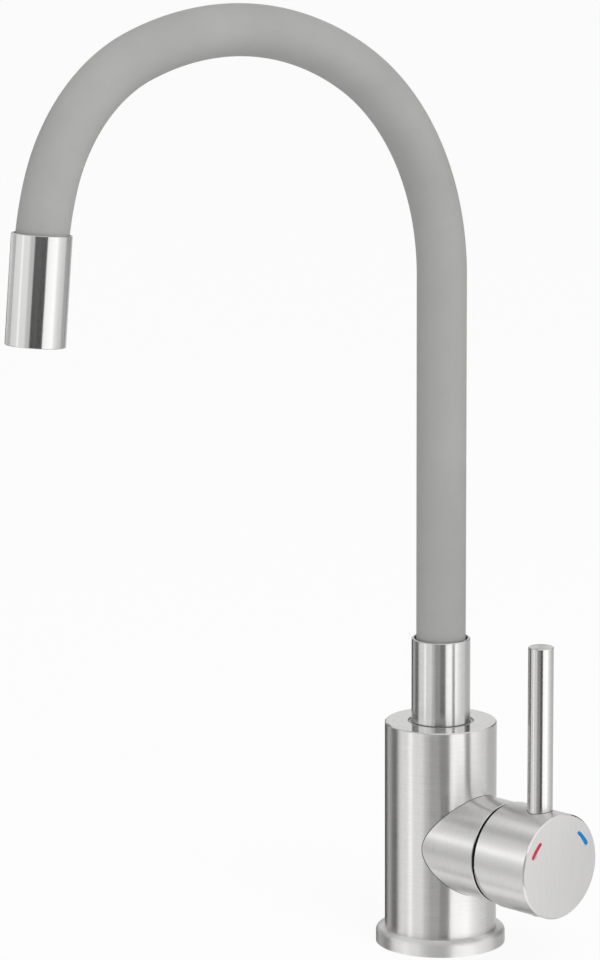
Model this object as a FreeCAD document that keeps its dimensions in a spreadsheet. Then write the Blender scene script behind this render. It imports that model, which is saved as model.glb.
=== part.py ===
import FreeCAD, Part
import math
import os
import Sketcher
from FreeCAD import Placement, Rotation, Vector

# Single lever kitchen mixer tap with a flexible gooseneck spout.
# Origin: centre of the foot on the deck. +Z up, the spout reaches along -Y, the handle points along +X.

DRIVING = {
    # foot and body
    "base_d": 58.0,
    "base_height": 6.7,
    "shoulder_share": 0.5,
    "foot_wall": 2.4,
    "gasket_bore": 36.0,
    "gasket_height": 2.0,
    "body_d": 50.0,
    "body_top": 101.6,
    "rim_chamfer": 0.5,
    "spigot_d": 44.0,
    # side boss and cartridge chamber, measured along X from the body's axis
    "axis_height": 48.4,
    "boss_d": 45.4,
    "boss_end": 41.0,
    "seam_gap": 0.15,
    "edge_break": 0.3,
    "chamber_d": 36.0,
    "chamber_floor": 5.0,
    "cartridge_gap": 0.4,
    # waterways in the body
    "inlet_back": 6.0,
    "inlet_spread": 15.0,
    "inlet_drill_d": 9.0,
    "inlet_depth": 18.0,
    "water_drill_d": 6.4,
    "port_drop": 6.0,
    "port_rise": 9.0,
    # cartridge
    "seal_height": 1.2,
    "plate_height": 3.3,
    "fixed_disc_height": 3.0,
    "moving_disc_height": 3.5,
    "moving_disc_d": 24.6,
    "mixing_hollow_d": 16.4,
    "mixing_hollow_depth": 2.1,
    "fixed_disc_d": 28.0,
    "driver_height": 6.5,
    "housing_wall": 1.8,
    "housing_front": 2.0,
    "flange_height": 2.6,
    "neck_d": 20.2,
    "neck_length": 10.6,
    "nut_bore": 23.0,
    "nut_length": 8.5,
    # lever linkage
    "pivot_x": 31.0,
    "ball_arm": 11.0,
    "ball_d": 8.0,
    "ball_flat": 3.0,
    "stem_width": 8.0,
    "stem_neck_d": 4.8,
    "stem_neck_length": 7.0,
    "stem_end": 63.0,
    "tilt_room_below": 2.0,
    "tilt_room_above": 4.0,
    "pin_d": 3.0,
    "pin_inset": 0.5,
    # handle
    "cap_gap": 2.1,
    "cap_length": 29.8,
    "cap_proud": 0.8,
    "cap_wall": 1.6,
    "face_wall": 2.0,
    "face_chamfer": 0.6,
    "relief_angle": 13.0,
    "hub_d": 24.0,
    "hub_depth": 17.0,
    "dome_gap": 0.5,
    "dome_wall": 1.0,
    "dome_opening": 31.0,
    "rod_d": 11.2,
    "rod_setback": 12.2,
    "rod_foot": 9.0,
    "rod_length": 87.9,
    "grub_d": 5.0,
    "grub_inset": 1.0,
    "plug_d": 6.3,
    "plug_proud": 0.8,
    "plug_inside": 1.0,
    "mark_radius": 17.6,
    "mark_width": 1.1,
    "mark_depth": 0.3,
    "mark_start_angle": 45.0,
    "mark_sweep_angle": 22.6,
    # spout socket in the body and what turns in it
    "socket_d": 27.0,
    "socket_depth": 19.6,
    "nipple_d": 16.8,
    "nipple_length": 13.0,
    "ring_recess_d": 29.6,
    "ring_recess_depth": 3.0,
    "ring_height": 2.4,
    "thrust_height": 1.0,
    "collar_height": 8.0,
    "groove_depth": 1.6,
    "groove_width": 2.4,
    "o_ring_d": 1.8,
    "o_ring_room": 0.36,
    "o_ring_share": 0.3,
    "lock_screw_d": 4.0,
    "lock_screw_inset": 1.0,
    # spout
    "ferrule_d": 26.2,
    "ferrule_wall": 1.0,
    "ferrule_edge": 0.3,
    "ferrule_height": 37.9,
    "hose_seat": 6.4,
    "hose_d": 22.0,
    "hose_bore": 17.8,
    "neck_tube_d": 17.2,
    "neck_tube_bore": 10.4,
    "barb_length": 16.0,
    "rise_length": 194.0,
    "first_radius": 111.5,
    "first_turn_angle": 59.0,
    "second_radius": 151.0,
    "second_turn_angle": 48.6,
    "third_radius": 75.0,
    "third_turn_angle": 54.0,
    "fourth_radius": 127.0,
    "fourth_turn_angle": 12.8,
    "hose_tail": 4.0,
    "low_bend_at": 197.0,
    "high_bend_at": 467.0,
    "bend_length": 44.0,
    # outlet
    "outlet_d": 25.0,
    "outlet_wall": 0.8,
    "outlet_edge": 0.24,
    "outlet_length": 45.5,
    "hose_inset": 12.0,
    "adaptor_height": 18.0,
    "washer_height": 1.5,
    "washer_width": 4.2,
    "aerator_recess": 0.6,
    "aerator_wall": 1.2,
    "aerator_lip": 1.9,
    "aerator_lip_width": 1.0,
    "aerator_hole_d": 2.0,
    "aerator_ring_share": 0.36,
    # fastening under the deck
    "stud_d": 6.0,
    "stud_forward": 8.0,
    "stud_spread": 16.0,
    "stud_bite": 12.0,
    "stud_reach": 62.0,
    "clamp_top": 38.0,
    "clamp_d": 48.0,
    "clamp_gasket_height": 3.0,
    "clamp_plate_height": 2.5,
    "clamp_slot": 26.0,
    "clamp_slot_end": 3.0,
    "nut_height": 5.0,
    "nut_across": 10.0,
    # clearances
    "close_fit": 0.1,
    "running_fit": 0.06,
    "loose_fit": 0.3,
    # how far a cutting tool runs on past the face that it cuts
    "overrun": 1.0,
}

doc = FreeCAD.newDocument("MixerTap")
sheet = doc.addObject("Spreadsheet::Sheet", "Sizes")
pieces = {}


class Size:
    """A length or an angle that carries the sheet expression it comes from."""

    def __init__(self, text, value):
        self.text = text
        self.value = value

    def joined(self, other, sign, value):
        return Size(f"({self.text} {sign} {as_size(other).text})", value)

    def __add__(self, other):
        return self.joined(other, "+", self.value + as_size(other).value)

    def __sub__(self, other):
        return self.joined(other, "-", self.value - as_size(other).value)

    def __mul__(self, other):
        return self.joined(other, "*", self.value * as_size(other).value)

    def __truediv__(self, other):
        return self.joined(other, "/", self.value / as_size(other).value)

    def __neg__(self):
        return Size(f"(0 - {self.text})", -self.value)


def as_size(number):
    return number if isinstance(number, Size) else Size(repr(float(number)), float(number))


def root(size):
    return Size(f"sqrt({size.text})", math.sqrt(size.value))


def tangent(size):
    return Size(f"tan({size.text})", math.tan(math.radians(size.value)))


def sine(size):
    return Size(f"sin({size.text})", math.sin(math.radians(size.value)))


def cosine(size):
    return Size(f"cos({size.text})", math.cos(math.radians(size.value)))


class Named:
    """The driving dimensions by name."""


def fill_sheet():
    """Puts each driving dimension in the sheet and returns them by name."""
    named = Named()
    for row, (alias, value) in enumerate(DRIVING.items(), start=1):
        sheet.set(f"A{row}", alias)
        sheet.set(f"B{row}", str(value))
        sheet.setAlias(f"B{row}", alias)
        setattr(named, alias, Size(f"Sizes.{alias}", value))
    doc.recompute()
    return named


d = fill_sheet()
ZERO = as_size(0)

# Sizes that follow from the driving ones
base_r = d.base_d / 2
body_r = d.body_d / 2
shoulder_round = (base_r - body_r) * d.shoulder_share
recess_r = base_r - d.foot_wall
spigot_r = d.spigot_d / 2
boss_r = d.boss_d / 2
chamber_r = d.chamber_d / 2
cartridge_r = chamber_r - d.cartridge_gap
housing_bore_r = cartridge_r - d.housing_wall
plate_x = d.chamber_floor + d.seal_height
fixed_x = plate_x + d.plate_height
moving_x = fixed_x + d.fixed_disc_height
driver_x = moving_x + d.moving_disc_height
flange_x = driver_x + d.driver_height + d.loose_fit
neck_x = flange_x + d.flange_height
housing_end = neck_x + d.housing_front
neck_end = neck_x + d.neck_length
ball_x = d.pivot_x - d.ball_arm
neck_r = d.neck_d / 2
cap_rear = d.boss_end + d.cap_gap
cap_face = cap_rear + d.cap_length
cap_r = boss_r + d.cap_proud
cap_bore_r = cap_r - d.cap_wall
dome_reach = cap_rear - d.pivot_x
dome_edge = cap_bore_r - d.dome_gap
dome_r = root(dome_reach * dome_reach + dome_edge * dome_edge)
cavity_end = cap_face - d.face_wall
rod_x = cap_face - d.rod_setback
rod_r = d.rod_d / 2
ferrule_r = d.ferrule_d / 2
ferrule_bore_r = ferrule_r - d.ferrule_wall
socket_r = d.socket_d / 2
socket_floor = d.body_top - d.socket_depth
nipple_foot = socket_floor + d.thrust_height - d.nipple_length
hose_foot = d.body_top + d.hose_seat
ferrule_top = d.body_top + d.ferrule_height
collar_foot = socket_floor + d.thrust_height
collar_top = collar_foot + d.collar_height
groove_at = collar_foot + d.collar_height / 2
nipple_r = d.nipple_d / 2
nipple_bore_r = nipple_r + d.running_fit
water_r = d.water_drill_d / 2
neck_tube_bore_r = d.neck_tube_bore / 2
barb_r = neck_tube_bore_r - d.close_fit
outlet_r = d.outlet_d / 2
outlet_bore_r = outlet_r - d.outlet_wall
stud_r = d.stud_d / 2
stem_room = d.stem_width + d.close_fit * 2


def moved(thing, x=ZERO, y=ZERO, z=ZERO):
    """Binds a feature's place to the sheet."""
    for letter, size in (("x", x), ("y", y), ("z", z)):
        thing.setExpression(f"Placement.Base.{letter}", size.text)
    return thing


def finished(thing, label):
    """Marks a feature as the solid of one piece."""
    thing.Label = label
    pieces[label] = thing
    return thing


def outline(body, name, plane, corners):
    """Closed sketch through the corners, each bound to the sheet by its two coordinates."""
    sketch = body.newObject("Sketcher::SketchObject", name)
    support = next(f for f in body.Origin.OriginFeatures if f.Role == plane)
    sketch.AttachmentSupport = (support, [""])
    sketch.MapMode = "FlatFace"
    count = len(corners)
    places = [Vector(across.value, up.value, 0) for across, up in corners]
    for k in range(count):
        sketch.addGeometry(Part.LineSegment(places[k], places[(k + 1) % count]), False)
    for k in range(count):
        sketch.addConstraint(Sketcher.Constraint("Coincident", k, 2, (k + 1) % count, 1))
    for k, corner in enumerate(corners):
        for kind, size in zip(("DistanceX", "DistanceY"), corner):
            made = sketch.addConstraint(Sketcher.Constraint(kind, -1, 1, k, 1, size.value))
            sketch.setExpression(f"Constraints[{made}]", size.text)
    return sketch


def turned(name, corners, along="Z"):
    """Body turned about Z from (radius, height) corners, or about X from (length, radius) corners."""
    body = doc.addObject("PartDesign::Body", name)
    sketch = outline(body, f"{name}_section", "XZ_Plane", corners)
    turn = body.newObject("PartDesign::Revolution", f"{name}_turn")
    turn.Profile = sketch
    turn.ReferenceAxis = (sketch, ["V_Axis" if along == "Z" else "H_Axis"])
    turn.Angle = 360
    return body


def tube_corners(inner, outer, low, high):
    """Section of a plain tube or ring turned about Z."""
    return [(inner, low), (outer, low), (outer, high), (inner, high)]


def sleeve_corners(inner, outer, start, end):
    """Section of a plain tube or ring turned about X."""
    return [(start, inner), (end, inner), (end, outer), (start, outer)]


def rim(body, kind, name, size, radius, place, along="z"):
    """Fillet or chamfer on the round edges of one radius at one place along the axis."""
    doc.recompute()
    base = body.Tip
    edges = []
    for k, edge in enumerate(base.Shape.Edges, start=1):
        if not isinstance(edge.Curve, Part.Circle):
            continue
        centre = getattr(edge.Curve.Center, along)
        if abs(edge.Curve.Radius - radius.value) < 1e-4 and abs(centre - place.value) < 1e-4:
            edges.append(f"Edge{k}")
    feature = body.newObject(f"PartDesign::{kind}", name)
    feature.Base = (base, edges)
    feature.setExpression("Radius" if kind == "Fillet" else "Size", size.text)
    body.Tip = feature


def cylinder(name, radius, length, along="Z"):
    """Plain round bar or drill that starts at its place and runs along the named axis."""
    bar = doc.addObject("Part::Cylinder", name)
    bar.setExpression("Radius", radius.text)
    bar.setExpression("Height", length.text)
    turns = {
        "Z": Rotation(),
        "-Z": Rotation(Vector(1, 0, 0), 180),
        "X": Rotation(Vector(0, 1, 0), 90),
        "Y": Rotation(Vector(1, 0, 0), -90),
        "-Y": Rotation(Vector(1, 0, 0), 90),
    }
    bar.Placement = Placement(Vector(), turns[along])
    return bar


def block(name, length, width, height):
    """Plain box with its corner at its place."""
    box = doc.addObject("Part::Box", name)
    box.setExpression("Length", length.text)
    box.setExpression("Width", width.text)
    box.setExpression("Height", height.text)
    return box


def cut(name, base, tools):
    """The base with every tool taken out of it."""
    tool = tools[0]
    if len(tools) > 1:
        tool = doc.addObject("Part::MultiFuse", f"{name}_tools")
        tool.Shapes = tools
    result = doc.addObject("Part::Cut", f"{name}_cut")
    result.Base = base
    result.Tool = tool
    return result


def joined(name, parts):
    result = doc.addObject("Part::MultiFuse", f"{name}_joined")
    result.Shapes = parts
    result.Refine = True
    return result


# Foot and body


def base_ring():
    """Round foot with a rounded shoulder, recessed underneath for its gasket."""
    bore = spigot_r + d.close_fit
    body = turned("base_ring_body", [
        (bore, d.gasket_height),
        (recess_r, d.gasket_height),
        (recess_r, ZERO),
        (base_r, ZERO),
        (base_r, d.base_height),
        (bore, d.base_height),
    ])
    rim(body, "Fillet", "base_shoulder", shoulder_round, base_r, d.base_height)
    finished(body, "base_ring")


def base_gasket():
    ring = tube_corners(d.gasket_bore / 2, recess_r - d.close_fit, ZERO, d.gasket_height)
    finished(turned("base_gasket_body", ring), "base_gasket")


def tap_body():
    """Bored column: spout socket on top, cartridge chamber at the side, inlets and studs below."""
    body = turned("column", [
        (ZERO, d.gasket_height),
        (spigot_r, d.gasket_height),
        (spigot_r, d.base_height),
        (body_r, d.base_height),
        (body_r, d.body_top),
        (d.ring_recess_d / 2, d.body_top),
        (d.ring_recess_d / 2, d.body_top - d.ring_recess_depth),
        (socket_r, d.body_top - d.ring_recess_depth),
        (socket_r, socket_floor),
        (nipple_bore_r, socket_floor),
        (nipple_bore_r, nipple_foot - d.thrust_height),
        (ZERO, nipple_foot - d.thrust_height),
    ])
    rim(body, "Chamfer", "column_rim", d.rim_chamfer, body_r, d.body_top)
    port_x = d.chamber_floor + d.inlet_back
    chamber = cylinder("chamber_bore", chamber_r, body_r, "X")
    moved(chamber, d.chamber_floor, ZERO, d.axis_height)
    rise = nipple_foot - d.axis_height - d.port_rise
    up = cylinder("outlet_rise", water_r, rise)
    moved(up, ZERO, ZERO, d.axis_height + d.port_rise)
    over = cylinder("outlet_run", water_r, d.chamber_floor + d.close_fit, "X")
    moved(over, ZERO, ZERO, d.axis_height + d.port_rise)
    tools = [chamber, up, over]
    for side, label in ((-0.5, "hot"), (0.5, "cold")):
        y = d.inlet_spread * side
        thread = cylinder(f"{label}_inlet", d.inlet_drill_d / 2, d.inlet_depth)
        tools.append(moved(thread, -d.inlet_back, y, d.gasket_height))
        height = d.axis_height - d.port_drop - d.gasket_height
        tools.append(moved(cylinder(f"{label}_rise", water_r, height), -d.inlet_back, y, d.gasket_height))
        run = cylinder(f"{label}_run", water_r, port_x + d.close_fit, "X")
        tools.append(moved(run, -d.inlet_back, y, d.axis_height - d.port_drop))
        hole = cylinder(f"{label}_stud_hole", stud_r + d.running_fit, d.stud_bite)
        tools.append(moved(hole, d.stud_forward, d.stud_spread * side, d.gasket_height))
    lock = cylinder("lock_hole", d.lock_screw_d / 2 + d.running_fit, body_r, "Y")
    tools.append(moved(lock, ZERO, ZERO, groove_at))
    finished(cut("tap_body", body, tools), "tap_body")


def handle_boss():
    """Side sleeve round the cartridge, saddle cut to the column."""
    sleeve = turned("boss_sleeve", sleeve_corners(chamber_r, boss_r, ZERO, d.boss_end), "X")
    rim(sleeve, "Chamfer", "boss_end_edge", d.edge_break, boss_r, d.boss_end, "x")
    moved(sleeve, ZERO, ZERO, d.axis_height)
    saddle = cylinder("boss_saddle", body_r + d.seam_gap, d.body_top)
    half = block("boss_far_side", d.body_d, d.body_d * 2, d.body_top)
    moved(half, -d.body_d, -d.body_d, ZERO)
    finished(cut("handle_boss", sleeve, [saddle, half]), "handle_boss")


def slip_rings():
    """Two plastic rings that guide the turning spout: one in the rim, one under the collar."""
    top = d.body_top - d.ring_recess_depth
    outer = d.ring_recess_d / 2 - d.close_fit
    ring = turned("upper_ring", tube_corners(ferrule_r + d.running_fit, outer, top, top + d.ring_height))
    finished(ring, "slip_ring_upper")
    thrust = tube_corners(nipple_bore_r, socket_r - d.close_fit, socket_floor, collar_foot)
    finished(turned("lower_ring", thrust), "slip_ring_lower")


def lock_screw():
    """Grub screw at the back of the column, with its nose in the collar's groove."""
    reach = ferrule_r - d.groove_depth + d.loose_fit
    head = body_r - d.lock_screw_inset
    nose = cylinder("lock_screw_nose", d.groove_width / 2 - d.loose_fit, head - reach, "Y")
    moved(nose, ZERO, reach, groove_at)
    shank_start = socket_r + d.loose_fit
    shank = cylinder("lock_screw_shank", d.lock_screw_d / 2, head - shank_start, "Y")
    moved(shank, ZERO, shank_start, groove_at)
    finished(joined("lock_screw", [nose, shank]), "spout_lock_screw")


# Cartridge


def port_drills(name, start, length):
    """The two inlet drills and the outlet drill of the cartridge, along X."""
    drills = []
    places = ((-0.5, -d.port_drop), (0.5, -d.port_drop), (0, d.port_rise))
    for k, (side, drop) in enumerate(places, start=1):
        drill = cylinder(f"{name}_port_{k}", water_r, length, "X")
        drills.append(moved(drill, start, d.inlet_spread * side, d.axis_height + drop))
    return drills


def ported_disc(name, radius, start, length):
    """Round plate across the chamber with the three ports through it."""
    plate = cylinder(f"{name}_plate", radius, length, "X")
    moved(plate, start, ZERO, d.axis_height)
    drills = port_drills(name, start - d.overrun, length + d.overrun * 2)
    finished(cut(name, plate, drills), name)


def cartridge_housing():
    """Cup that holds the discs and guides the rotor's neck."""
    cup = turned("housing_cup", [
        (fixed_x, housing_bore_r),
        (neck_x, housing_bore_r),
        (neck_x, neck_r + d.running_fit),
        (housing_end, neck_r + d.running_fit),
        (housing_end, cartridge_r),
        (fixed_x, cartridge_r),
    ], "X")
    finished(moved(cup, ZERO, ZERO, d.axis_height), "cartridge_housing")


def cartridge_nut():
    nut = turned("nut_ring", sleeve_corners(
        d.nut_bore / 2, chamber_r - d.running_fit, housing_end, housing_end + d.nut_length), "X")
    finished(moved(nut, ZERO, ZERO, d.axis_height), "cartridge_nut")


def cover_dome():
    """Round cover between boss and handle: a slice of a ball about the lever's pivot."""
    ball = doc.addObject("Part::Sphere", "dome_ball")
    ball.setExpression("Radius", dome_r.text)
    hollow = doc.addObject("Part::Sphere", "dome_hollow")
    hollow.setExpression("Radius", (dome_r - d.dome_wall).text)
    for sphere in (ball, hollow):
        sphere.Placement = Placement(Vector(), Rotation(Vector(0, 1, 0), 90))
        moved(sphere, d.pivot_x, ZERO, d.axis_height)
    shell = doc.addObject("Part::Cut", "dome_shell")
    shell.Base = ball
    shell.Tool = hollow
    slab = cylinder("dome_slab", dome_r + d.overrun, dome_r, "X")
    moved(slab, d.boss_end, ZERO, d.axis_height)
    front = doc.addObject("Part::Common", "dome_front")
    front.Base = shell
    front.Tool = slab
    hole = cylinder("dome_hole", d.dome_opening / 2, dome_r + d.overrun, "X")
    moved(hole, d.pivot_x, ZERO, d.axis_height)
    finished(cut("cover_dome", front, [hole]), "cover_dome")


def moving_disc():
    """Ceramic disc that slides and turns on the fixed one, with its mixing hollow."""
    disc = cylinder("moving_plate", d.moving_disc_d / 2, d.moving_disc_height, "X")
    moved(disc, moving_x, ZERO, d.axis_height)
    hollow = cylinder("mixing_hollow", d.mixing_hollow_d / 2, d.mixing_hollow_depth, "X")
    moved(hollow, moving_x, ZERO, d.axis_height)
    finished(cut("moving_disc", disc, [hollow]), "moving_disc")


def disc_driver():
    """Carrier on the moving disc with the socket for the lever's ball."""
    bore = d.ball_d / 2 + d.loose_fit
    carrier = turned("driver_ring", sleeve_corners(
        bore, d.moving_disc_d / 2, driver_x, driver_x + d.driver_height), "X")
    finished(moved(carrier, ZERO, ZERO, d.axis_height), "disc_driver")


def rotor():
    """Turning guide of the cartridge: flange behind the housing front, slotted neck for the stem."""
    flange_r = housing_bore_r - d.running_fit
    guide = turned("rotor_guide", [
        (flange_x, ZERO),
        (flange_x, flange_r),
        (neck_x, flange_r),
        (neck_x, neck_r),
        (neck_end, neck_r),
        (neck_end, ZERO),
    ], "X")
    moved(guide, ZERO, ZERO, d.axis_height)
    below = d.stem_width / 2 + d.tilt_room_below
    above = d.stem_width / 2 + d.tilt_room_above
    slot = block("rotor_slot", neck_end - flange_x + d.overrun * 2, stem_room, below + above)
    moved(slot, flange_x - d.overrun, -(stem_room / 2), d.axis_height - below)
    pin = cylinder("rotor_pin_hole", d.pin_d / 2 + d.running_fit, d.neck_d, "Y")
    moved(pin, d.pivot_x, -neck_r, d.axis_height)
    finished(cut("rotor", guide, [slot, pin]), "rotor")


def stem_pin():
    pin = cylinder("stem_pin_bar", d.pin_d / 2, d.neck_d - d.pin_inset * 2, "Y")
    moved(pin, d.pivot_x, -(neck_r - d.pin_inset), d.axis_height)
    finished(pin, "stem_pin")


def lever_stem():
    """Square lever on the pin: a ball drives the disc, the square end carries the handle."""
    half = d.stem_width / 2
    square_start = ball_x + d.stem_neck_length
    square = block("stem_square", d.stem_end - square_start, d.stem_width, d.stem_width)
    moved(square, square_start, -half, d.axis_height - half)
    neck = cylinder("stem_neck", d.stem_neck_d / 2, d.stem_neck_length + d.overrun, "X")
    moved(neck, ball_x, ZERO, d.axis_height)
    ball = doc.addObject("Part::Sphere", "stem_ball")
    ball.setExpression("Radius", (d.ball_d / 2).text)
    moved(ball, ball_x, ZERO, d.axis_height)
    blank = joined("lever_stem", [square, neck, ball])
    hole = cylinder("stem_pin_hole", d.pin_d / 2 + d.running_fit, d.stem_width, "Y")
    moved(hole, d.pivot_x, -half, d.axis_height)
    tail = cylinder("stem_ball_flat", d.ball_d, d.ball_d - d.ball_flat, "X")
    moved(tail, ball_x - d.ball_d, ZERO, d.axis_height)
    finished(cut("lever_stem", blank, [hole, tail]), "lever_stem")


# Handle


def mark(name, angle):
    """Thin curved bar with round ends, let into the handle's face, from an angle off straight up."""
    body = doc.addObject("PartDesign::Body", f"{name}_bar")
    corners = sleeve_corners(
        d.mark_radius - d.mark_width / 2, d.mark_radius + d.mark_width / 2,
        cap_face - d.mark_depth, cap_face)
    sketch = outline(body, f"{name}_section", "XZ_Plane", corners)
    turn = body.newObject("PartDesign::Revolution", f"{name}_turn")
    turn.Profile = sketch
    turn.ReferenceAxis = (sketch, ["H_Axis"])
    turn.setExpression("Angle", d.mark_sweep_angle.text)
    body.Placement = Placement(Vector(), Rotation(Vector(1, 0, 0), 1))
    body.setExpression("Placement.Rotation.Angle", angle.text)
    parts = [moved(body, ZERO, ZERO, d.axis_height)]
    for k, end in enumerate((angle, angle + d.mark_sweep_angle), start=1):
        tip = cylinder(f"{name}_end_{k}", d.mark_width / 2, d.mark_depth, "X")
        across = -(d.mark_radius * sine(end))
        up = d.mark_radius * cosine(end)
        parts.append(moved(tip, cap_face - d.mark_depth, across, d.axis_height + up))
    return finished(joined(name, parts), name)


def handle_cap(marks):
    """Hollow cap with a hub for stem and rod, its lower rear cut away so that it can tilt."""
    body = turned("cap_shell", [
        (cap_rear, cap_bore_r),
        (cavity_end, cap_bore_r),
        (cavity_end, d.hub_d / 2),
        (cavity_end - d.hub_depth, d.hub_d / 2),
        (cavity_end - d.hub_depth, ZERO),
        (cap_face, ZERO),
        (cap_face, cap_r),
        (cap_rear, cap_r),
    ], "X")
    rim(body, "Chamfer", "cap_face_edge", d.face_chamfer, cap_r, cap_face, "x")
    rim(body, "Chamfer", "cap_rear_edge", d.edge_break, cap_r, cap_rear, "x")
    moved(body, ZERO, ZERO, d.axis_height)

    depth = cap_r * 2
    relief = doc.addObject("PartDesign::Body", "cap_relief")
    sketch = outline(relief, "cap_relief_section", "XZ_Plane", [
        (cap_rear - d.overrun, ZERO),
        (cap_rear, ZERO),
        (cap_rear + depth * tangent(d.relief_angle), -depth),
        (cap_rear - d.overrun, -depth),
    ])
    pad = relief.newObject("PartDesign::Pad", "cap_relief_pad")
    pad.Profile = sketch
    pad.SideType = "Symmetric"
    pad.setExpression("Length", (depth * 2).text)
    moved(relief, ZERO, ZERO, d.axis_height)

    socket_start = cavity_end - d.hub_depth - d.overrun
    socket = block("stem_socket", d.stem_end + d.close_fit - socket_start, stem_room, stem_room)
    moved(socket, socket_start, -(stem_room / 2), d.axis_height - stem_room / 2)
    seat = cylinder("rod_hole", rod_r + d.close_fit, depth)
    moved(seat, rod_x, ZERO, d.axis_height + d.rod_foot)
    screw = cylinder("grub_hole", d.grub_d / 2 + d.running_fit, d.hub_d / 2, "-Z")
    moved(screw, rod_x, ZERO, d.axis_height)
    access = cylinder("plug_hole", d.plug_d / 2 + d.running_fit, cap_r, "-Z")
    moved(access, rod_x, ZERO, d.axis_height - d.hub_d / 2 - d.overrun)
    tools = [relief, socket, seat, screw, access] + marks
    finished(cut("handle_cap", body, tools), "handle_cap")


def handle():
    hot = mark("hot_mark", d.mark_start_angle)
    cold = mark("cold_mark", as_size(360) - d.mark_start_angle - d.mark_sweep_angle)
    handle_cap([hot, cold])

    rod = turned("rod_bar", [(ZERO, ZERO), (rod_r, ZERO), (rod_r, d.rod_length), (ZERO, d.rod_length)])
    rim(rod, "Chamfer", "rod_top_edge", d.edge_break, rod_r, d.rod_length)
    finished(moved(rod, rod_x, ZERO, d.axis_height + d.rod_foot), "lever_rod")

    top = d.axis_height - d.stem_width / 2
    grub_length = d.hub_d / 2 - d.stem_width / 2 - d.grub_inset
    grub = cylinder("grub_bar", d.grub_d / 2, grub_length, "-Z")
    finished(moved(grub, rod_x, ZERO, top), "grub_screw")

    plug_length = d.cap_wall + d.plug_proud + d.plug_inside
    plug = cylinder("plug_bar", d.plug_d / 2, plug_length, "-Z")
    finished(moved(plug, rod_x, ZERO, d.axis_height - cap_bore_r + d.plug_inside), "screw_plug")


# Spout foot


def spout_foot():
    """Thin outer ferrule and, inside it, the turning anchor with its O-rings and hose barb."""
    shell = tube_corners(ferrule_bore_r, ferrule_r, collar_top, ferrule_top)
    ferrule = turned("ferrule_tube", shell)
    rim(ferrule, "Chamfer", "ferrule_rim", d.ferrule_edge, ferrule_r, ferrule_top)
    finished(ferrule, "lower_ferrule")

    collar_groove = ferrule_r - d.groove_depth
    low = groove_at - d.groove_width / 2
    high = groove_at + d.groove_width / 2
    ring_groove = nipple_r - d.o_ring_d
    corners = [(water_r, nipple_foot), (nipple_r, nipple_foot)]
    for centre in o_ring_heights():
        half = (d.o_ring_d + d.o_ring_room) / 2
        corners += [
            (nipple_r, centre - half), (ring_groove, centre - half),
            (ring_groove, centre + half), (nipple_r, centre + half),
        ]
    corners += [
        (nipple_r, collar_foot), (ferrule_r, collar_foot), (ferrule_r, low),
        (collar_groove, low), (collar_groove, high), (ferrule_r, high),
        (ferrule_r, collar_top), (ferrule_bore_r - d.close_fit, collar_top),
        (ferrule_bore_r - d.close_fit, hose_foot), (barb_r, hose_foot),
        (barb_r, hose_foot + d.barb_length), (water_r, hose_foot + d.barb_length),
    ]
    finished(turned("anchor_turn", corners), "hose_anchor")

    for centre, label in zip(o_ring_heights(), ("lower", "upper")):
        ring = doc.addObject("Part::Torus", f"{label}_o_ring_torus")
        ring.setExpression("Radius1", (ring_groove + d.o_ring_d / 2).text)
        ring.setExpression("Radius2", (d.o_ring_d / 2 - d.running_fit / 2).text)
        finished(moved(ring, z=centre), f"o_ring_{label}")


def o_ring_heights():
    """Centres of the two O-ring grooves, evenly spaced on the nipple."""
    step = d.nipple_length * d.o_ring_share
    return [nipple_foot + step, collar_foot - step]


# Flexible hose, which stands as a gooseneck


def hose_runs():
    """Centreline as (length, radius) runs from the hose's foot: a straight riser, then tangent arcs."""
    runs = [(d.rise_length.value, None)]
    arcs = (
        (d.first_radius, d.first_turn_angle),
        (d.second_radius, d.second_turn_angle),
        (d.third_radius, d.third_turn_angle),
        (d.fourth_radius, d.fourth_turn_angle),
    )
    for radius, turn in arcs:
        runs.append((radius.value * math.radians(turn.value), radius.value))
    runs.append((d.hose_tail.value, None))
    return runs


def hose_frames():
    """Start point, heading from +Z towards -Y, station, length and radius of every run."""
    frames = []
    point = Vector(0, 0, hose_foot.value)
    heading = 0.0
    station = 0.0
    for length, radius in hose_runs():
        frames.append((point, heading, station, length, radius))
        point, heading = along_run(point, heading, length, radius)
        station += length
    frames.append((point, heading, station, 0.0, None))
    return frames


def direction(heading):
    return Vector(0, -math.sin(heading), math.cos(heading))


def along_run(point, heading, length, radius):
    """Point and heading after a length of a straight or curved run."""
    if radius is None:
        return point + direction(heading) * length, heading
    turned_to = heading + length / radius
    centre = point + Vector(0, -math.cos(heading), -math.sin(heading)) * radius
    return centre + Vector(0, math.cos(turned_to), math.sin(turned_to)) * radius, turned_to


def hose_point(station):
    """Point and heading of the centreline at a station."""
    for point, heading, start, length, radius in hose_frames():
        if start <= station <= start + length:
            return along_run(point, heading, station - start, radius)
    raise ValueError(f"station {station} lies off the hose")


def hose_length():
    return hose_frames()[-1][2]


def ring_face(point, heading, outer, inner):
    """Flat ring across the centreline."""
    rings = [Part.Wire(Part.makeCircle(r, point, direction(heading))) for r in (outer, inner)]
    face = Part.Face(rings[0])
    return face.cut(Part.Face(rings[1])).Faces[0]


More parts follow.
